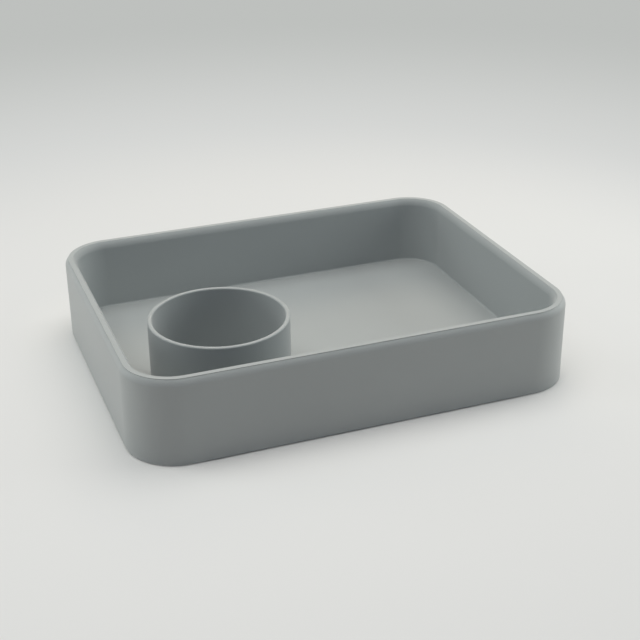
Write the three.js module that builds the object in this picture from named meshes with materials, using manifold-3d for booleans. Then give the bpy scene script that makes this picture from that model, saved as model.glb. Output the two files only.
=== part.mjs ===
// A key tray: a shallow tray with round corners, a thin round cup that lifts out of
// a recess in its floor, and four anti-slip feet let into its underside.
// Millimetres, +Z up. The origin is under the middle of the tray, on the surface it stands on.
// +X runs along the tray's length, and the front is on the -Y side.

import * as THREE from "three";
import { mergeVertices } from "three/addons/utils/BufferGeometryUtils.js";
import Module from "manifold-3d";

// Tray
const TRAY_LENGTH = 180;
const TRAY_WIDTH = 140;
const TRAY_HEIGHT = 35; // from the surface it stands on up to its rim
const CORNER_RADIUS = 20;
const WALL = 4.8;
const FLOOR = 4;
const RIM_ROUND_WIDTH = 1.5; // the rim's rounding on each side, taller than it is wide
const RIM_ROUND_HEIGHT = 2.6;
const BASE_CHAMFER = 0.2;

// Cup, whose rim stands level with the tray's rim
const CUP_RADIUS = 27.5;
const CUP_WALL = 1.8;
const CUP_FLOOR = 2;
const CUP_RIM_ROUND = 0.6;
const CUP_BASE_CHAMFER = 0.5;
const CUP_GAP = 12.7; // from the cup to the tray's left and front walls
const RECESS_DEPTH = 1.5; // how far the cup sinks into the tray's floor
const RECESS_CLEARANCE = 0.3; // all round the cup

// Feet
const FOOT_RADIUS = 6;
const FOOT_THICKNESS = 1.6;
const FOOT_PROUD = 0.3; // how far the feet stand out of the underside
const FOOT_ROUND = 0.15;
const FOOT_INSET = 20; // from the tray's sides to a foot's centre
const FOOT_CLEARANCE = 0.3; // all round a foot in its pocket

// Smoothness of the round forms
const CORNER_STEPS = 20;
const ROUND_STEPS = 5;
const CUP_STEPS = 72;
const FOOT_STEPS = 32;
const MERGE_DISTANCE = 1e-4;

// The most of a wall that a rounding may take on each of its sides
const ROUND_LIMIT = 0.48;

const PLASTIC_GREY = 0xa4aaaa;
const RUBBER_GREY = 0x4a4d4e;

// Places that several pieces share
const underside = FOOT_PROUD;
const trayTop = TRAY_HEIGHT;
const floorTop = underside + FLOOR;
const recessFloor = floorTop - RECESS_DEPTH;
const pocketDepth = FOOT_THICKNESS - FOOT_PROUD;
const cupCentre = new THREE.Vector2(
  -TRAY_LENGTH / 2 + WALL + CUP_GAP + CUP_RADIUS,
  -TRAY_WIDTH / 2 + WALL + CUP_GAP + CUP_RADIUS,
);
const feet = [
  { name: "foot_front_left", x: -1, y: -1 },
  { name: "foot_front_right", x: 1, y: -1 },
  { name: "foot_rear_left", x: -1, y: 1 },
  { name: "foot_rear_right", x: 1, y: 1 },
].map(({ name, x, y }) => ({
  name,
  x: x * (TRAY_LENGTH / 2 - FOOT_INSET),
  y: y * (TRAY_WIDTH / 2 - FOOT_INSET),
}));

const wasm = await Module();
wasm.setup();

// A closed three.js geometry as a solid that can be joined and cut.
function toSolid(geometry) {
  const bare = geometry.clone();
  bare.deleteAttribute("normal");
  bare.deleteAttribute("uv");
  const merged = mergeVertices(bare, MERGE_DISTANCE);
  return new wasm.Manifold(
    new wasm.Mesh({
      numProp: 3,
      vertProperties: new Float32Array(merged.attributes.position.array),
      triVerts: new Uint32Array(merged.index.array),
    }),
  );
}

// The solid's vertices and triangles as a three.js geometry again.
function toGeometry(solid) {
  const { vertProperties, triVerts } = solid.getMesh();
  const geometry = new THREE.BufferGeometry();
  geometry.setAttribute("position", new THREE.BufferAttribute(vertProperties, 3));
  geometry.setIndex(new THREE.BufferAttribute(triVerts, 1));
  geometry.computeVertexNormals();
  return geometry;
}

// Points of an arc about (x, y), with its own radius along each axis.
function arc(x, y, width, height, from, to, steps) {
  return new THREE.EllipseCurve(x, y, width, height, from, to, to < from).getPoints(steps);
}

// Points of the tray's plan, drawn in from its outer face by inset, corner by corner.
function trayOutline(inset) {
  const x = TRAY_LENGTH / 2 - CORNER_RADIUS;
  const y = TRAY_WIDTH / 2 - CORNER_RADIUS;
  const radius = CORNER_RADIUS - inset;
  const corners = [new THREE.Vector2(x, y), new THREE.Vector2(-x, y)];
  corners.push(new THREE.Vector2(-x, -y), new THREE.Vector2(x, -y));
  return corners.flatMap((corner, i) => {
    const from = (i * Math.PI) / 2;
    return arc(corner.x, corner.y, radius, radius, from, from + Math.PI / 2, CORNER_STEPS);
  });
}

// The surface that a profile of (inset, height) points sweeps round the tray's plan. Level faces
// close it under its first point and over its last one.
function swept(profile) {
  const rings = profile.map(({ x: inset, y: height }) =>
    trayOutline(inset).map((point) => [point.x, point.y, height]),
  );
  const count = rings[0].length;
  const last = rings.length - 1;
  const at = (ring, i) => ring * count + (i % count);
  const points = rings.flat();
  const lowCentre = points.push([0, 0, profile[0].y]) - 1;
  const highCentre = points.push([0, 0, profile[last].y]) - 1;
  const triangles = [];
  for (let i = 0; i < count; i += 1) {
    triangles.push([lowCentre, at(0, i + 1), at(0, i)]);
    for (let ring = 0; ring < last; ring += 1) {
      triangles.push([at(ring, i), at(ring, i + 1), at(ring + 1, i + 1)]);
      triangles.push([at(ring, i), at(ring + 1, i + 1), at(ring + 1, i)]);
    }
    triangles.push([highCentre, at(last, i), at(last, i + 1)]);
  }
  const geometry = new THREE.BufferGeometry();
  geometry.setAttribute("position", new THREE.Float32BufferAttribute(points.flat(), 3));
  geometry.setIndex(triangles.flat());
  return geometry;
}

// An upright cylinder from one height to another.
function uprightCylinder(x, y, radius, from, to, steps) {
  return new THREE.CylinderGeometry(radius, radius, to - from, steps)
    .rotateX(Math.PI / 2)
    .translate(x, y, (from + to) / 2);
}

// The walls and the floor in one, from the underside up over the rim and down to the floor's top.
function trayBody() {
  const width = Math.min(RIM_ROUND_WIDTH, ROUND_LIMIT * WALL);
  const height = RIM_ROUND_HEIGHT;
  const profile = [
    new THREE.Vector2(BASE_CHAMFER, underside),
    new THREE.Vector2(0, underside + BASE_CHAMFER),
    ...arc(width, trayTop - height, width, height, Math.PI, Math.PI / 2, ROUND_STEPS),
    ...arc(WALL - width, trayTop - height, width, height, Math.PI / 2, 0, ROUND_STEPS),
    new THREE.Vector2(WALL, floorTop),
  ];
  return toSolid(swept(profile));
}

// The round seat for the cup, open upwards.
function cupRecess() {
  const radius = CUP_RADIUS + RECESS_CLEARANCE;
  const { x, y } = cupCentre;
  return toSolid(uprightCylinder(x, y, radius, recessFloor, trayTop, CUP_STEPS));
}

// The round seat for one foot, open downwards.
function footPocket({ x, y }) {
  const radius = FOOT_RADIUS + FOOT_CLEARANCE;
  const mouth = underside - pocketDepth;
  const end = underside + pocketDepth;
  return toSolid(uprightCylinder(x, y, radius, mouth, end, FOOT_STEPS));
}

function trayGeometry() {
  let body = trayBody().subtract(cupRecess());
  for (const foot of feet) {
    body = body.subtract(footPocket(foot));
  }
  return toGeometry(body);
}

// A turned solid that stands on the XY plane, from a profile of (radius, height) points.
function turned(profile, steps) {
  return new THREE.LatheGeometry(profile, steps).rotateX(Math.PI / 2);
}

function cupGeometry() {
  const height = trayTop - recessFloor;
  const round = Math.min(CUP_RIM_ROUND, ROUND_LIMIT * CUP_WALL);
  const inside = CUP_RADIUS - CUP_WALL;
  const profile = [
    new THREE.Vector2(0, 0),
    new THREE.Vector2(CUP_RADIUS - CUP_BASE_CHAMFER, 0),
    new THREE.Vector2(CUP_RADIUS, CUP_BASE_CHAMFER),
    ...arc(CUP_RADIUS - round, height - round, round, round, 0, Math.PI / 2, ROUND_STEPS),
    ...arc(inside + round, height - round, round, round, Math.PI / 2, Math.PI, ROUND_STEPS),
    new THREE.Vector2(inside, CUP_FLOOR),
    new THREE.Vector2(0, CUP_FLOOR),
  ];
  return turned(profile, CUP_STEPS);
}

function footGeometry() {
  const round = Math.min(FOOT_ROUND, FOOT_PROUD);
  const profile = [
    new THREE.Vector2(0, 0),
    ...arc(FOOT_RADIUS - round, round, round, round, -Math.PI / 2, 0, ROUND_STEPS),
    new THREE.Vector2(FOOT_RADIUS, FOOT_THICKNESS),
    new THREE.Vector2(0, FOOT_THICKNESS),
  ];
  return turned(profile, FOOT_STEPS);
}

function mattePlastic() {
  return new THREE.MeshStandardMaterial({ color: PLASTIC_GREY, roughness: 0.6, metalness: 0 });
}

function softRubber() {
  return new THREE.MeshStandardMaterial({ color: RUBBER_GREY, roughness: 0.85, metalness: 0 });
}

function namedMesh(name, geometry, material, x = 0, y = 0, z = 0) {
  const mesh = new THREE.Mesh(geometry, material);
  mesh.name = name;
  mesh.position.set(x, y, z);
  return mesh;
}

const keyTray = new THREE.Group();
keyTray.add(namedMesh("tray", trayGeometry(), mattePlastic()));
keyTray.add(
  namedMesh("cup", cupGeometry(), mattePlastic(), cupCentre.x, cupCentre.y, recessFloor),
);
for (const { name, x, y } of feet) {
  keyTray.add(namedMesh(name, footGeometry(), softRubber(), x, y));
}

export default keyTray;
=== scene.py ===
"""A key tray with a lift-out cup, modelled over its CAD frame and set on a plain studio floor."""

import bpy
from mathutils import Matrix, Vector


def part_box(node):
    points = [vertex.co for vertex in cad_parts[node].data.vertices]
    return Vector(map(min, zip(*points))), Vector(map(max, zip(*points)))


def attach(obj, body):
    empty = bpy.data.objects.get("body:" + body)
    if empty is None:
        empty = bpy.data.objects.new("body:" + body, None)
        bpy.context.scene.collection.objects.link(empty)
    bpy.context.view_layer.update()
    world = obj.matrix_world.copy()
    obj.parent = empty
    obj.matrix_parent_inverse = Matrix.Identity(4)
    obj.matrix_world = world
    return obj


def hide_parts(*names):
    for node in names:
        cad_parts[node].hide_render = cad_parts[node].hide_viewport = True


bl_info = {
    "name": "Key Tray",
    "version": (1, 0, 0),
    "blender": (4, 5, 0),
    "location": "3D View > Sidebar > Key Tray",
    "description": "Models a key tray with a lift-out cup and soft feet, and its studio stage",
    "category": "Add Mesh",
}

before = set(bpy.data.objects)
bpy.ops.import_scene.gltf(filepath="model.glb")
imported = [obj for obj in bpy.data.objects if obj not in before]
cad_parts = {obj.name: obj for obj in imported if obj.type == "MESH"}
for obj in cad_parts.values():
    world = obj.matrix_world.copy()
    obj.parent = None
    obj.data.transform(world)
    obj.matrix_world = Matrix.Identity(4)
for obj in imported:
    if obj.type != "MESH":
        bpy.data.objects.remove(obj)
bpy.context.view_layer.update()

import math
from typing import NamedTuple

import bmesh
import bpy
from bpy.props import FloatProperty, FloatVectorProperty, PointerProperty
from mathutils import Matrix, Vector


def disc_of(node):
    """Centre and radius of a round node's box in the frame."""
    low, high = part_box(node)
    return (low + high) / 2, (high.x - low.x) / 2


# Places and sizes that the frame gives
TRAY_LOW, TRAY_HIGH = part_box("tray")
CUP_LOW, CUP_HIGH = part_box("cup")
CUP_CENTRE, CUP_RADIUS = disc_of("cup")
FOOT_NODES = ("foot_front_left", "foot_front_right", "foot_rear_left", "foot_rear_right")
TRAY_BODY = "tray"
CUP_BODY = "cup"

# Measures of the modelling
MM = 0.001
NEAR = 0.01 * MM  # two heights closer than this are the same
FLAT = 0.999  # the least upright share of a level face's normal
SMOOTH_ANGLE = math.radians(32)
ROUND_PROFILE = 0.5  # a bevel's profile for a plain rounding
FILLET_SEGMENTS = 5
EDGE_SEGMENTS = 3

# Grain, and the rim's polish and painted shade, that the materials share
GRAIN_DETAIL = 2.0
CLOUD_SCALE = 28.0  # clouds to a metre
CLOUD_DETAIL = 3.0
WEAR_AND_SHADE_SCALE = 90.0  # patches of the rim's polish and painted shade to a metre
WEAR_AND_SHADE_DETAIL = 2.0
WEAR_AND_SHADE_LIFT = 0.5  # brings the mean of the patches up to 1

# Plastic of the tray and the cup
CLOUD_SHADES = (0.97, 1.03)  # darkest and lightest shares of the grey
RIM_REACH = 1.2 * MM  # how far the rim's polish and painted shade go down from its top
RIM_POLISH_AND_PAINTED_SHADE = 0.98  # share of the grey on the rim's top: the slight darkening of its polish, and a painted shade that sets how bright its lit top looks
RIM_POLISH = 0.06  # roughness that the rim's polish takes away
PLASTIC_ROUGHNESS = 0.55
PLASTIC_SPECULAR = 0.4
PLASTIC_SHEEN = 0.3
PLASTIC_SHEEN_ROUGHNESS = 0.5

# Rubber of the feet
RUBBER_GRAIN = 0.5 * MM
RUBBER_GRAIN_DEPTH = 0.03 * MM
RUBBER_SHADES = (0.8, 1.3)  # darkest and lightest shares of the grey
RUBBER_ROUGHNESS = 0.75
RUBBER_DUST = 0.15  # roughness that dust adds where it lies

# Sockets of a Mix node that are for colours
MIX_COLOURS = slice(6, 8)
MIX_RESULT = 2


# Sizes, colours and lights that a user would change


def length_property(name, description, millimetres):
    """A length that the sidebar shows in the scene's own unit."""
    return FloatProperty(
        name=name, description=description, default=millimetres * MM,
        min=0.0, precision=5, subtype="DISTANCE", unit="LENGTH",
    )


def colour_property(name, description, colour):
    """A linear colour."""
    return FloatVectorProperty(
        name=name, description=description, default=colour,
        size=3, min=0.0, max=1.0, subtype="COLOR",
    )


def power_property(name, description, watts):
    """A lamp's power."""
    return FloatProperty(
        name=name, description=description, default=watts, min=0.0, subtype="POWER", unit="POWER",
    )


def angle_property(name, description, degrees):
    """An angle that the sidebar shows in degrees."""
    return FloatProperty(
        name=name, description=description, default=math.radians(degrees),
        subtype="ANGLE", unit="ROTATION",
    )


class KeyTrayTraySizes(bpy.types.PropertyGroup):
    """Sizes of the tray that its box doesn't give."""

    corner_radius: length_property("Corner radius", "Radius of the upright outer corners", 20.0)
    wall: length_property("Wall", "Thickness of the walls", 4.8)
    floor: length_property("Floor", "Thickness of the floor", 4.0)
    rim_width: length_property("Rim shoulder width", "From each face to the rim's flat top", 1.4)
    outer_drop: length_property("Outer drop", "Fall of the outer shoulder's slope over its width", 1.0)
    outer_round: length_property("Outer rounding", "Reach of the rounding under the outer slope", 1.7)
    inner_drop: length_property("Inner drop", "Fall of the inner shoulder's slope over its width", 1.7)
    inner_round: length_property("Inner rounding", "Reach of the rounding under the inner slope", 1.5)
    rim_step: length_property("Rim step", "Step between the outer rounding and the flat top", 0.3)
    seam_fillet: length_property("Floor fillet", "Radius where the floor meets the walls", 0.9)
    base_chamfer: length_property("Base chamfer", "Break of the underside's edge", 0.2)
    seat_clearance: length_property("Seat clearance", "Gap round the cup in its seat", 0.3)
    seat_chamfer: length_property("Seat chamfer", "Break of the seat's edge", 0.2)
    pocket_clearance: length_property("Pocket clearance", "Gap round a foot in its pocket", 0.3)


class KeyTrayCupSizes(bpy.types.PropertyGroup):
    """Sizes of the cup that its box doesn't give."""

    wall: length_property("Wall", "Thickness of the cup's wall", 1.8)
    floor: length_property("Floor", "Thickness of the cup's floor", 2.0)
    rim_round: length_property("Rim rounding", "Radius of the rim's rounding on each side", 0.6)
    seam_fillet: length_property("Floor fillet", "Radius where the floor meets the wall", 1.2)
    base_chamfer: length_property("Base chamfer", "Break of the lower edge", 0.5)


class KeyTrayFootSizes(bpy.types.PropertyGroup):
    """Sizes of a foot that its box doesn't give."""

    edge_round: length_property("Edge rounding", "Rounding of the lower edge", 0.15)
    land: length_property("Land", "Width of the flat ring outside the groove", 1.6)
    groove: length_property("Groove", "Width of the ring groove in the lower face", 0.8)
    groove_depth: length_property("Groove depth", "Depth of the ring groove", 0.25)


class KeyTrayFinishes(bpy.types.PropertyGroup):
    """Colours and grain of the materials."""

    tray_grey: colour_property("Tray grey", "Colour of the tray's plastic", (0.371, 0.400, 0.403))
    cup_grey: colour_property("Cup grey", "Colour of the cup's plastic", (0.371, 0.400, 0.403))
    rubber_grey: colour_property("Rubber grey", "Colour of the feet", (0.069, 0.074, 0.076))
    grain: length_property("Grain", "Size of the plastic's moulded grain", 0.4)
    grain_depth: length_property("Grain depth", "Depth of the plastic's moulded grain", 0.04)


class KeyTrayStage(bpy.types.PropertyGroup):
    """Camera, floor and lights."""

    azimuth: angle_property("Azimuth", "Camera's turn round the tray, from the front", -20.707)
    elevation: angle_property("Elevation", "Camera's height over the floor, as an angle", 25.801)
    roll: angle_property("Roll", "Camera's turn about its own axis", -0.551)
    distance: length_property("Distance", "From the camera to its target", 557.493)
    lens: FloatProperty(
        name="Lens", description="Camera's focal length", default=70.365,
        subtype="DISTANCE_CAMERA", unit="CAMERA",
    )
    floor_colour: colour_property("Floor", "Colour of the studio floor", (0.802, 0.808, 0.797))
    floor_bounce: colour_property("Floor bounce", "Colour that the floor throws back", (0.85, 0.82, 0.78))
    backdrop_near: colour_property("Near backdrop", "Floor round the tray, as seen", (0.725, 0.732, 0.72))
    backdrop_far: colour_property("Far backdrop", "Floor in the distance, as seen", (0.515, 0.53, 0.515))
    top_power: power_property("Top softbox", "Power of the long softbox overhead", 3.667)
    back_power: power_property("Back softbox", "Power of the softbox behind the tray", 0.933)
    low_power: power_property("Low softbox", "Power of the low softbox at the left", 1.05)
    high_power: power_property("High softbox", "Power of the high softbox at the left", 0.84)
    right_power: power_property("Right softbox", "Power of the softbox at the right", 1.334)
    air: colour_property("Air", "Dim light from all round", (0.044, 0.06, 0.095))


# Modelling helpers


def deselect_all():
    """Leaves nothing selected, in object mode."""
    if bpy.context.mode != "OBJECT":
        bpy.ops.object.mode_set(mode="OBJECT")
    bpy.ops.object.select_all(action="DESELECT")


def select_only(piece):
    """Leaves one piece selected and active, in object mode."""
    deselect_all()
    piece.select_set(True)
    bpy.context.view_layer.objects.active = piece


def edit(piece):
    """Enters edit mode on one piece."""
    select_only(piece)
    bpy.ops.object.mode_set(mode="EDIT")


def settle(name):
    """Names the active object and puts its place and scale into its mesh."""
    piece = bpy.context.active_object
    piece.name = name
    piece.data.name = name
    bpy.ops.object.transform_apply(location=True, rotation=True, scale=True)
    return piece


def add_block(name, low, high):
    """A block between two corners."""
    deselect_all()
    bpy.ops.mesh.primitive_cube_add(size=1.0, location=(low + high) / 2, scale=high - low)
    return settle(name)


def add_disc(name, centre, radius, low, high, vertices):
    """An upright cylinder between two heights."""
    deselect_all()
    place = (centre.x, centre.y, (low + high) / 2)
    bpy.ops.mesh.primitive_cylinder_add(
        vertices=vertices, radius=radius, depth=high - low, location=place
    )
    return settle(name)


def pick(kind, test):
    """In edit mode, selects just the edges or faces that pass the test."""
    bpy.ops.mesh.select_mode(type="EDGE" if kind == "edges" else "FACE")
    bpy.ops.mesh.select_all(action="DESELECT")
    mesh = bpy.context.edit_object.data
    shape = bmesh.from_edit_mesh(mesh)
    found = [item for item in getattr(shape, kind) if test(item)]
    if not found:
        raise RuntimeError(f"no {kind} to work on in {bpy.context.edit_object.name}")
    for item in found:
        item.select_set(True)
    shape.select_flush_mode()
    bmesh.update_edit_mesh(mesh)


def edges_at(height, further=None):
    """A test for level edges between a level face and a steeper one, with a further test if given."""

    def test(edge):
        level = all(abs(v.co.z - height) < NEAR for v in edge.verts)
        if not level or len(edge.link_faces) != 2:
            return False
        if further is not None and not further(edge):
            return False
        flats = [abs(face.normal.z) > FLAT for face in edge.link_faces]
        return flats[0] != flats[1]

    return test


def level_face(height, upwards):
    """A test for a level face at one height that looks up or down."""

    def test(face):
        looks = face.normal.z > FLAT if upwards else face.normal.z < -FLAT
        return looks and abs(face.calc_center_median().z - height) < NEAR

    return test


def looks_out(face):
    """Whether a face looks away from the tray's middle."""
    return face.normal.xy.dot(face.calc_center_median().xy) > NEAR


def looks_in(face):
    """Whether a face looks towards the tray's middle."""
    return face.normal.xy.dot(face.calc_center_median().xy) < -NEAR


def round_edges(test, radius, segments):
    """Bevels the edges that pass the test."""
    pick("edges", test)
    bpy.ops.mesh.bevel(offset=radius, segments=segments, profile=ROUND_PROFILE, affect="EDGES")


def sink(depth):
    """Extrudes the selected faces straight down, or up if the depth is below 0."""
    bpy.ops.mesh.extrude_region_move(TRANSFORM_OT_translate={"value": (0, 0, -depth)})


def hollow(top, wall, floor):
    """Sets in the wall's thickness from the level top and sinks the hollow to the floor."""
    pick("faces", level_face(top, True))
    bpy.ops.mesh.inset(thickness=wall, use_even_offset=True)
    sink(top - floor)


def cut_away(piece, cutter):
    """Takes the cutter's shape out of the piece and deletes the cutter."""
    select_only(piece)
    bpy.ops.object.modifier_add(type="BOOLEAN")
    cut = piece.modifiers[-1]
    cut.operation = "DIFFERENCE"
    cut.solver = "EXACT"
    cut.object = cutter
    bpy.ops.object.modifier_apply(modifier=cut.name)
    select_only(cutter)
    bpy.ops.object.delete()


def smooth(piece):
    """Shades the piece smooth between its sharp edges, with its flat faces kept flat."""
    select_only(piece)
    bpy.ops.object.shade_smooth_by_angle(angle=SMOOTH_ANGLE)
    bpy.ops.object.modifier_add(type="WEIGHTED_NORMAL")
    weighted = piece.modifiers[-1]
    weighted.keep_sharp = True
    bpy.ops.object.modifier_apply(modifier=weighted.name)


def join_frame(piece, material, body, node):
    """Gives a finished piece its material and its place in the frame."""
    piece.data.materials.clear()
    piece.data.materials.append(material)
    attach(piece, body)
    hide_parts(node)


# Material helpers


def new_group(name, inputs, outputs):
    """An empty shader node group, with the names and types of its sockets."""
    group = bpy.data.node_groups.new(name, "ShaderNodeTree")
    for in_out, sockets in (("INPUT", inputs), ("OUTPUT", outputs)):
        for socket_name, socket_type in sockets.items():
            group.interface.new_socket(socket_name, in_out=in_out, socket_type=socket_type)
    return group, group.nodes.new("NodeGroupInput"), group.nodes.new("NodeGroupOutput")


def feed(tree, value, socket):
    """Links an input to another node's output, or sets it to a plain value."""
    if isinstance(value, bpy.types.NodeSocket):
        tree.links.new(value, socket)
    else:
        socket.default_value = value


def math_node(tree, operation, first, second):
    """A Math node whose inputs are sockets or numbers."""
    node = tree.nodes.new("ShaderNodeMath")
    node.operation = operation
    feed(tree, first, node.inputs[0])
    feed(tree, second, node.inputs[1])
    return node.outputs[0]


def vector_node(tree, operation, first, second=None):
    """A Vector Math node whose inputs are sockets or vectors."""
    node = tree.nodes.new("ShaderNodeVectorMath")
    node.operation = operation
    feed(tree, first, node.inputs[0])
    if second is not None:
        feed(tree, second, node.inputs[1])
    return node.outputs["Value" if operation == "LENGTH" else "Vector"]


def noise(tree, vector, scale, detail):
    """A noise value from 0 to 1 at a scale per metre."""
    node = tree.nodes.new("ShaderNodeTexNoise")
    node.inputs["Detail"].default_value = detail
    feed(tree, vector, node.inputs["Vector"])
    feed(tree, scale, node.inputs["Scale"])
    return node.outputs["Fac"]


def grain_group():
    """Fine pebbled grain, with a broad cloudiness of the colour."""
    name = "Fine grain"
    if name in bpy.data.node_groups:
        return bpy.data.node_groups[name]
    group, source, result = new_group(
        name,
        {"Vector": "NodeSocketVector", "Grain": "NodeSocketFloat"},
        {"Height": "NodeSocketFloat", "Cloud": "NodeSocketFloat"},
    )
    height = noise(group, source.outputs["Vector"], source.outputs["Grain"], GRAIN_DETAIL)
    cloud = noise(group, source.outputs["Vector"], CLOUD_SCALE, CLOUD_DETAIL)
    group.links.new(height, result.inputs["Height"])
    group.links.new(cloud, result.inputs["Cloud"])
    return group


def rim_wear_and_shade_group():
    """A mask that grows from 0 below the rim to about 1 on top of it, with a soft unevenness; it sets the
    rim's polish and its painted shade.
    """
    name = "Rim wear"
    if name in bpy.data.node_groups:
        return bpy.data.node_groups[name]
    group, source, result = new_group(
        name,
        {"Vector": "NodeSocketVector", "Rim": "NodeSocketFloat", "Reach": "NodeSocketFloat"},
        {"Mask": "NodeSocketFloat"},
    )
    split = group.nodes.new("ShaderNodeSeparateXYZ")
    group.links.new(source.outputs["Vector"], split.inputs["Vector"])
    below = math_node(group, "SUBTRACT", source.outputs["Rim"], split.outputs["Z"])
    share = math_node(group, "DIVIDE", below, source.outputs["Reach"])
    height = math_node(group, "SUBTRACT", 1.0, share)
    height.node.use_clamp = True
    uneven = noise(group, source.outputs["Vector"], WEAR_AND_SHADE_SCALE, WEAR_AND_SHADE_DETAIL)
    patches = math_node(group, "ADD", uneven, WEAR_AND_SHADE_LIFT)
    mask = math_node(group, "MULTIPLY", height, patches)
    group.links.new(mask, result.inputs["Mask"])
    return group


def place_group(tree, group, vector, **values):
    """Puts a group into a material, with its vector linked and its other inputs set."""
    node = tree.nodes.new("ShaderNodeGroup")
    node.node_tree = group
    tree.links.new(vector, node.inputs["Vector"])
    for socket, value in values.items():
        node.inputs[socket].default_value = value
    return node


def mix_colour(tree, factor, first, second):
    """A blend of two colours, each a socket or a plain colour."""
    node = tree.nodes.new("ShaderNodeMix")
    node.data_type = "RGBA"
    feed(tree, factor, node.inputs["Factor"])
    for socket, colour in zip(node.inputs[MIX_COLOURS], (first, second)):
        linked = isinstance(colour, bpy.types.NodeSocket)
        feed(tree, colour if linked else (*colour, 1.0), socket)
    return node.outputs[MIX_RESULT]


def ramp(tree, value, start, end, lowest=0.0):
    """A value that rises smoothly from its lowest at start to 1 at end."""
    node = tree.nodes.new("ShaderNodeMapRange")
    node.interpolation_type = "SMOOTHSTEP"
    feed(tree, value, node.inputs["Value"])
    feed(tree, start, node.inputs["From Min"])
    feed(tree, end, node.inputs["From Max"])
    feed(tree, lowest, node.inputs["To Min"])
    return node.outputs["Result"]


def backdrop_rays(tree):
    """1 for the rays that see the backdrop: straight from the camera, by gloss or through glass."""
    path = tree.nodes.new("ShaderNodeLightPath")
    seen = math_node(tree, "MAXIMUM", path.outputs["Is Camera Ray"], path.outputs["Is Glossy Ray"])
    return math_node(tree, "MAXIMUM", seen, path.outputs["Is Transmission Ray"])


def new_material(name):
    """A material with its shader and the object's own coordinates."""
    material = bpy.data.materials.new(name)
    material.use_nodes = True
    tree = material.node_tree
    shader = tree.nodes["Principled BSDF"]
    place = tree.nodes.new("ShaderNodeTexCoord").outputs["Object"]
    return material, tree, shader, place


def bump(tree, shader, height, distance):
    """Feeds a height into the shader's normal."""
    node = tree.nodes.new("ShaderNodeBump")
    node.inputs["Distance"].default_value = distance
    tree.links.new(height, node.inputs["Height"])
    tree.links.new(node.outputs["Normal"], shader.inputs["Normal"])


def shaded(colour, share):
    """The colour, made darker or lighter by a share."""
    return [channel * share for channel in colour]


def plastic(name, grey, rim):
    """Matte moulded plastic: fine grain, a faint cloudiness, and a rim polished by hands, whose top also
    carries a painted shade.
    """
    finishes = bpy.context.scene.key_tray_finishes
    material, tree, shader, place = new_material(name)
    grain = place_group(tree, grain_group(), place, Grain=1.0 / finishes.grain)
    worn_and_shaded_rim = place_group(tree, rim_wear_and_shade_group(), place, Rim=rim, Reach=RIM_REACH)
    dark, light = (shaded(grey, share) for share in CLOUD_SHADES)
    cloudy = mix_colour(tree, grain.outputs["Cloud"], dark, light)
    # painted shade: the rim's top is made a little darker, partly for its polish and partly to set how
    # bright its lit top looks
    colour = mix_colour(tree, worn_and_shaded_rim.outputs["Mask"], cloudy, shaded(grey, RIM_POLISH_AND_PAINTED_SHADE))
    tree.links.new(colour, shader.inputs["Base Color"])
    polish = math_node(tree, "MULTIPLY", worn_and_shaded_rim.outputs["Mask"], RIM_POLISH)
    rough = math_node(tree, "SUBTRACT", PLASTIC_ROUGHNESS, polish)
    tree.links.new(rough, shader.inputs["Roughness"])
    shader.inputs["Specular IOR Level"].default_value = PLASTIC_SPECULAR
    shader.inputs["Sheen Weight"].default_value = PLASTIC_SHEEN
    shader.inputs["Sheen Roughness"].default_value = PLASTIC_SHEEN_ROUGHNESS
    bump(tree, shader, grain.outputs["Height"], finishes.grain_depth)
    return material


def rubber(name, grey):
    """Dull rubber with a coarse, dusty grain."""
    material, tree, shader, place = new_material(name)
    grain = place_group(tree, grain_group(), place, Grain=1.0 / RUBBER_GRAIN)
    dark, light = (shaded(grey, share) for share in RUBBER_SHADES)
    colour = mix_colour(tree, grain.outputs["Height"], dark, light)
    tree.links.new(colour, shader.inputs["Base Color"])
    dust = math_node(tree, "MULTIPLY", grain.outputs["Cloud"], RUBBER_DUST)
    rough = math_node(tree, "ADD", dust, RUBBER_ROUGHNESS)
    tree.links.new(rough, shader.inputs["Roughness"])
    bump(tree, shader, grain.outputs["Height"], RUBBER_GRAIN_DEPTH)
    return material


# Stage helpers


class Softbox(NamedTuple):
    """Where a soft lamp stands, as seen from the middle of the tray, and its size and colour."""

    turn: float  # degrees from the front towards the right
    rise: float  # degrees over the floor
    distance: float
    width: float
    height: float
    colour: tuple


def direction(turn, rise):
    """Points away from the tray, turned from its front towards its right and raised."""
    level = math.cos(rise)
    return Vector((math.sin(turn) * level, -math.cos(turn) * level, math.sin(rise)))


# Operators


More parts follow.
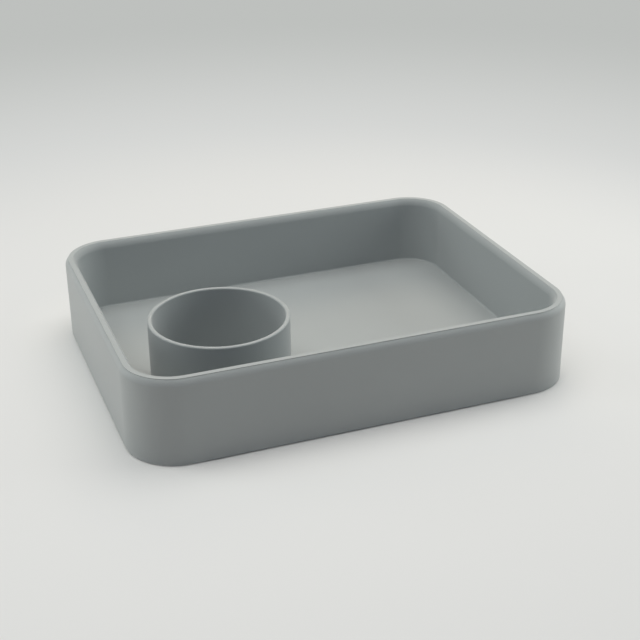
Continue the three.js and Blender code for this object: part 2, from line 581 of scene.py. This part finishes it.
class KEYTRAY_OT_make_tray(bpy.types.Operator):
    """Model the tray: rounded walls and rim, a seat for the cup and pockets for the feet"""

    bl_idname = "key_tray.make_tray"
    bl_label = "Make tray"

    CORNER_SEGMENTS = 48
    SLOPE_SEGMENTS = 1
    RIM_SEGMENTS = 12
    SEAT_SEGMENTS = 2
    SEAT_VERTICES = 256
    POCKET_VERTICES = 64

    def execute(self, context):
        sizes = context.scene.key_tray_tray
        rim = TRAY_HIGH.z - sizes.rim_step
        floor = TRAY_LOW.z + sizes.floor
        tray = add_block("tray_shell", TRAY_LOW, Vector((TRAY_HIGH.x, TRAY_HIGH.y, rim)))
        edit(tray)
        self.round_corners(sizes)
        hollow(rim, sizes.wall, floor)
        self.shape_rim(sizes, rim)
        round_edges(edges_at(floor), sizes.seam_fillet, FILLET_SEGMENTS)
        round_edges(edges_at(TRAY_LOW.z), sizes.base_chamfer, EDGE_SEGMENTS)
        self.cut_seats(tray, sizes, floor)
        smooth(tray)
        finishes = context.scene.key_tray_finishes
        material = plastic("Tray plastic", finishes.tray_grey, TRAY_HIGH.z)
        join_frame(tray, material, TRAY_BODY, "tray")
        return {"FINISHED"}

    def round_corners(self, sizes):
        """Rounds the four upright edges."""

        def upright(edge):
            return abs(edge.verts[0].co.z - edge.verts[1].co.z) > sizes.floor

        round_edges(upright, sizes.corner_radius, self.CORNER_SEGMENTS)

    def shape_rim(self, sizes, rim):
        """Gives the rim a rounded shoulder on each side, and a fine step along the outer one."""
        round_edges(edges_at(rim), sizes.rim_width, self.SLOPE_SEGMENTS)
        self.shape_shoulder(rim, sizes.rim_width, sizes.outer_drop, sizes.outer_round, looks_out)
        self.shape_shoulder(rim, sizes.rim_width, sizes.inner_drop, sizes.inner_round, looks_in)
        low = rim - sizes.inner_drop - sizes.inner_round

        def inner_or_top(face):
            return face.calc_center_median().z > low and not looks_out(face)

        pick("faces", inner_or_top)
        sink(-sizes.rim_step)

    def shape_shoulder(self, rim, width, drop, reach, on_side):
        """Tilts one side's slope to its drop and rounds the edge under it."""

        def in_slope(face):
            return on_side(face) and all(v.co.z > rim - width - NEAR for v in face.verts)

        def under_slope(edge):
            level = all(abs(v.co.z - (rim - drop)) < NEAR for v in edge.verts)
            return level and all(on_side(face) for face in edge.link_faces)

        pick("faces", in_slope)
        bpy.ops.transform.resize(value=(1, 1, drop / width), center_override=(0, 0, rim))
        round_edges(under_slope, reach, self.RIM_SEGMENTS)

    def cut_seats(self, tray, sizes, floor):
        """Cuts the cup's seat into the floor and the feet's pockets into the underside."""
        radius = CUP_RADIUS + sizes.seat_clearance
        cutter = add_disc("cutter", CUP_CENTRE, radius, CUP_LOW.z, CUP_HIGH.z, self.SEAT_VERTICES)
        cut_away(tray, cutter)
        for node in FOOT_NODES:
            low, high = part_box(node)
            centre, foot_radius = disc_of(node)
            radius = foot_radius + sizes.pocket_clearance
            cutter = add_disc("cutter", centre, radius, low.z - high.z, high.z, self.POCKET_VERTICES)
            cut_away(tray, cutter)
        edit(tray)
        reach = CUP_RADIUS + sizes.wall

        def round_seat(edge):
            return all((v.co.xy - CUP_CENTRE.xy).length < reach for v in edge.verts)

        round_edges(edges_at(floor, round_seat), sizes.seat_chamfer, self.SEAT_SEGMENTS)


class KEYTRAY_OT_make_cup(bpy.types.Operator):
    """Model the cup: a thin round wall with a rounded rim, on a floor of its own"""

    bl_idname = "key_tray.make_cup"
    bl_label = "Make cup"

    VERTICES = 256
    RIM_SEGMENTS = 6

    def execute(self, context):
        sizes = context.scene.key_tray_cup
        floor = CUP_LOW.z + sizes.floor
        cup = add_disc("cup_shell", CUP_CENTRE, CUP_RADIUS, CUP_LOW.z, CUP_HIGH.z, self.VERTICES)
        edit(cup)
        hollow(CUP_HIGH.z, sizes.wall, floor)
        round_edges(edges_at(CUP_HIGH.z), sizes.rim_round, self.RIM_SEGMENTS)
        round_edges(edges_at(floor), sizes.seam_fillet, FILLET_SEGMENTS)
        round_edges(edges_at(CUP_LOW.z), sizes.base_chamfer, EDGE_SEGMENTS)
        smooth(cup)
        finishes = context.scene.key_tray_finishes
        material = plastic("Cup plastic", finishes.cup_grey, CUP_HIGH.z)
        join_frame(cup, material, CUP_BODY, "cup")
        return {"FINISHED"}


class KEYTRAY_OT_make_feet(bpy.types.Operator):
    """Model one soft foot with a ring groove in its lower face, and copy it to every pocket"""

    bl_idname = "key_tray.make_feet"
    bl_label = "Make feet"

    VERTICES = 64

    def execute(self, context):
        sizes = context.scene.key_tray_feet
        finishes = context.scene.key_tray_finishes
        first = self.model(FOOT_NODES[0], sizes)
        feet = [first] + [self.copy(first, node) for node in FOOT_NODES[1:]]
        material = rubber("Foot rubber", finishes.rubber_grey)
        for foot, node in zip(feet, FOOT_NODES):
            join_frame(foot, material, TRAY_BODY, node)
        return {"FINISHED"}

    def model(self, node, sizes):
        """Shapes the first foot."""
        low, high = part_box(node)
        centre, radius = disc_of(node)
        foot = add_disc(f"{node}_pad", centre, radius, low.z, high.z, self.VERTICES)
        edit(foot)
        pick("faces", level_face(low.z, False))
        bpy.ops.mesh.inset(thickness=sizes.land, use_even_offset=True)
        bpy.ops.mesh.inset(thickness=sizes.groove, use_even_offset=True)
        outer = radius - sizes.land
        inner = outer - sizes.groove

        def in_groove(face):
            away = (face.calc_center_median().xy - centre.xy).length
            return face.normal.z < -FLAT and inner < away < outer

        def past_groove(edge):
            return all((v.co.xy - centre.xy).length > outer + NEAR for v in edge.verts)

        pick("faces", in_groove)
        sink(-sizes.groove_depth)
        round_edges(edges_at(low.z, past_groove), sizes.edge_round, EDGE_SEGMENTS)
        smooth(foot)
        return foot

    def copy(self, first, node):
        """Copies the first foot, with its own mesh, to another node's place."""
        first_centre, _ = disc_of(FOOT_NODES[0])
        centre, _ = disc_of(node)
        select_only(first)
        bpy.ops.object.duplicate(linked=False)
        bpy.ops.transform.translate(value=centre - first_centre)
        return settle(f"{node}_pad")


class KEYTRAY_OT_make_stage(bpy.types.Operator):
    """Set the floor, the lights and the camera"""

    bl_idname = "key_tray.make_stage"
    bl_label = "Make stage"

    TARGET = Vector((15.364, 24.724, 0.0)) * MM  # what the camera looks at
    CLIP_START = 0.01
    FLOOR_SIZE = 6.0
    FLOOR_DROP = 0.02 * MM  # keeps the floor just clear of the feet's faces
    FLOOR_ROUGHNESS = 0.9
    FLOOR_SPECULAR = 0.2
    SHADOW_REACH = (0.18, 0.34)  # where the lit floor gives way to the plain backdrop
    SHADOW_FILL = 0.55  # share of the plain backdrop that softens the shadow round the tray
    FILL_REACH = 0.04  # how far from the tray's sides that share is reached
    SHADOW_ROUND = 0.032  # rounder than the tray, so that the shadow is lighter at its corners
    FILL_CURVE = 0.5  # under 1, the share rises fastest close to the sides
    BACKDROP_REACH = (0.14, 0.65)  # where the backdrop turns from its near to its far colour
    WHITE = (1.0, 0.964, 0.907)
    WARM = (1.0, 0.856, 0.661)
    PALE = (0.96, 1.0, 0.955)
    SOFTBOXES = {
        "top": Softbox(turn=120, rise=87, distance=0.62, width=0.4, height=1.1, colour=WHITE),
        "back": Softbox(turn=160, rise=40, distance=0.75, width=0.5, height=0.3, colour=WARM),
        "low": Softbox(turn=-120, rise=12, distance=0.75, width=0.3, height=0.26, colour=PALE),
        "high": Softbox(turn=-108, rise=48, distance=0.75, width=0.3, height=0.3, colour=PALE),
        "right": Softbox(turn=80, rise=20, distance=0.6, width=0.5, height=0.3, colour=PALE),
    }

    def execute(self, context):
        stage = context.scene.key_tray_stage
        self.make_floor(stage)
        self.make_lights(stage)
        self.make_world(context, stage)
        self.make_camera(context, stage)
        context.scene.view_settings.view_transform = "Standard"
        return {"FINISHED"}

    def make_floor(self, stage):
        """A wide floor that is lit and shadowed near the tray, and a plain backdrop further out."""
        deselect_all()
        bpy.ops.mesh.primitive_plane_add(size=self.FLOOR_SIZE, location=(0, 0, -self.FLOOR_DROP))
        floor = settle("studio_floor")
        material, tree, shader, place = new_material("Studio floor")
        shader.inputs["Roughness"].default_value = self.FLOOR_ROUGHNESS
        shader.inputs["Specular IOR Level"].default_value = self.FLOOR_SPECULAR
        away = vector_node(tree, "LENGTH", place)
        backdrop = tree.nodes.new("ShaderNodeEmission")
        colour = mix_colour(
            tree, ramp(tree, away, *self.BACKDROP_REACH), stage.backdrop_near, stage.backdrop_far
        )
        tree.links.new(colour, backdrop.inputs["Color"])
        seen = backdrop_rays(tree)
        lit = mix_colour(tree, seen, stage.floor_bounce, stage.floor_colour)
        tree.links.new(lit, shader.inputs["Base Color"])
        plain = ramp(tree, away, *self.SHADOW_REACH, self.shadow_fill(tree, place))
        share = math_node(tree, "MULTIPLY", plain, seen)
        mix = tree.nodes.new("ShaderNodeMixShader")
        tree.links.new(share, mix.inputs["Fac"])
        tree.links.new(shader.outputs["BSDF"], mix.inputs[1])
        tree.links.new(backdrop.outputs["Emission"], mix.inputs[2])
        output = tree.nodes["Material Output"]
        tree.links.new(mix.outputs["Shader"], output.inputs["Surface"])
        floor.data.materials.append(material)

    def shadow_fill(self, tree, place):
        """A share that rises from 0 at the tray's sides, to leave the shadow dark where they stand."""
        corner = TRAY_HIGH - Vector((self.SHADOW_ROUND, self.SHADOW_ROUND, 0.0))
        past = vector_node(tree, "SUBTRACT", vector_node(tree, "ABSOLUTE", place), corner)
        out = vector_node(tree, "LENGTH", vector_node(tree, "MAXIMUM", past, (0.0, 0.0, 0.0)))
        aside = math_node(tree, "SUBTRACT", out, self.SHADOW_ROUND)
        near = math_node(tree, "DIVIDE", aside, self.FILL_REACH)
        near.node.use_clamp = True
        rise = math_node(tree, "POWER", near, self.FILL_CURVE)
        return math_node(tree, "MULTIPLY", rise, self.SHADOW_FILL)

    def make_lights(self, stage):
        """A long softbox overhead, one behind, two at the left and one at the right."""
        for name, softbox in self.SOFTBOXES.items():
            self.add_softbox(name, softbox, getattr(stage, f"{name}_power"))

    def add_softbox(self, name, softbox, power):
        """A soft lamp that looks straight at the middle of the tray, unseen by the camera."""
        away = direction(math.radians(softbox.turn), math.radians(softbox.rise))
        place = away * softbox.distance
        deselect_all()
        bpy.ops.object.light_add(type="AREA", location=place)
        lamp = bpy.context.active_object
        lamp.name = f"{name}_softbox"
        lamp.data.shape = "RECTANGLE"
        lamp.data.size = softbox.width
        lamp.data.size_y = softbox.height
        lamp.data.energy = power
        lamp.data.color = softbox.colour
        lamp.rotation_euler = (-place).to_track_quat("-Z", "Y").to_euler()
        lamp.visible_camera = False

    def make_world(self, context, stage):
        """Dim air that shows as the far backdrop, to the camera and in gloss."""
        world = bpy.data.worlds.new("Studio air")
        world.use_nodes = True
        tree = world.node_tree
        seen = backdrop_rays(tree)
        colour = mix_colour(tree, seen, stage.air, stage.backdrop_far)
        tree.links.new(colour, tree.nodes["Background"].inputs["Color"])
        context.scene.world = world

    def make_camera(self, context, stage):
        """A camera that looks at its target from the stage's angles, turned by its roll."""
        back = direction(stage.azimuth, stage.elevation)
        deselect_all()
        bpy.ops.object.camera_add(location=self.TARGET + back * stage.distance)
        camera = bpy.context.active_object
        camera.name = "photo_camera"
        aim = (-back).to_track_quat("-Z", "Y").to_matrix()
        camera.rotation_euler = (aim @ Matrix.Rotation(stage.roll, 3, "Z")).to_euler()
        camera.data.lens = stage.lens
        camera.data.clip_start = self.CLIP_START
        context.scene.camera = camera


class KEYTRAY_PT_panel(bpy.types.Panel):
    """Sizes, colours and steps of the key tray"""

    bl_idname = "KEYTRAY_PT_panel"
    bl_label = "Key Tray"
    bl_space_type = "VIEW_3D"
    bl_region_type = "UI"
    bl_category = "Key Tray"

    def draw(self, context):
        for operator in STEPS:
            self.layout.operator(operator.bl_idname)
        for name, group in GROUPS.items():
            box = self.layout.box()
            box.label(text=group.__doc__)
            for prop in group.__annotations__:
                box.prop(getattr(context.scene, name), prop)


GROUPS = {
    "key_tray_tray": KeyTrayTraySizes,
    "key_tray_cup": KeyTrayCupSizes,
    "key_tray_feet": KeyTrayFootSizes,
    "key_tray_finishes": KeyTrayFinishes,
    "key_tray_stage": KeyTrayStage,
}
STEPS = (
    KEYTRAY_OT_make_tray,
    KEYTRAY_OT_make_cup,
    KEYTRAY_OT_make_feet,
    KEYTRAY_OT_make_stage,
)
CLASSES = (*GROUPS.values(), *STEPS, KEYTRAY_PT_panel)


def register():
    """Registers the classes and gives the scene its groups of sizes."""
    for cls in CLASSES:
        bpy.utils.register_class(cls)
    for name, group in GROUPS.items():
        setattr(bpy.types.Scene, name, PointerProperty(type=group))


def unregister():
    """Takes back all that register gave."""
    for name in GROUPS:
        delattr(bpy.types.Scene, name)
    for cls in reversed(CLASSES):
        bpy.utils.unregister_class(cls)


def main():
    """Models every piece and sets the stage."""
    register()
    bpy.ops.key_tray.make_tray()
    bpy.ops.key_tray.make_cup()
    bpy.ops.key_tray.make_feet()
    bpy.ops.key_tray.make_stage()


if __name__ == "__main__":
    main()
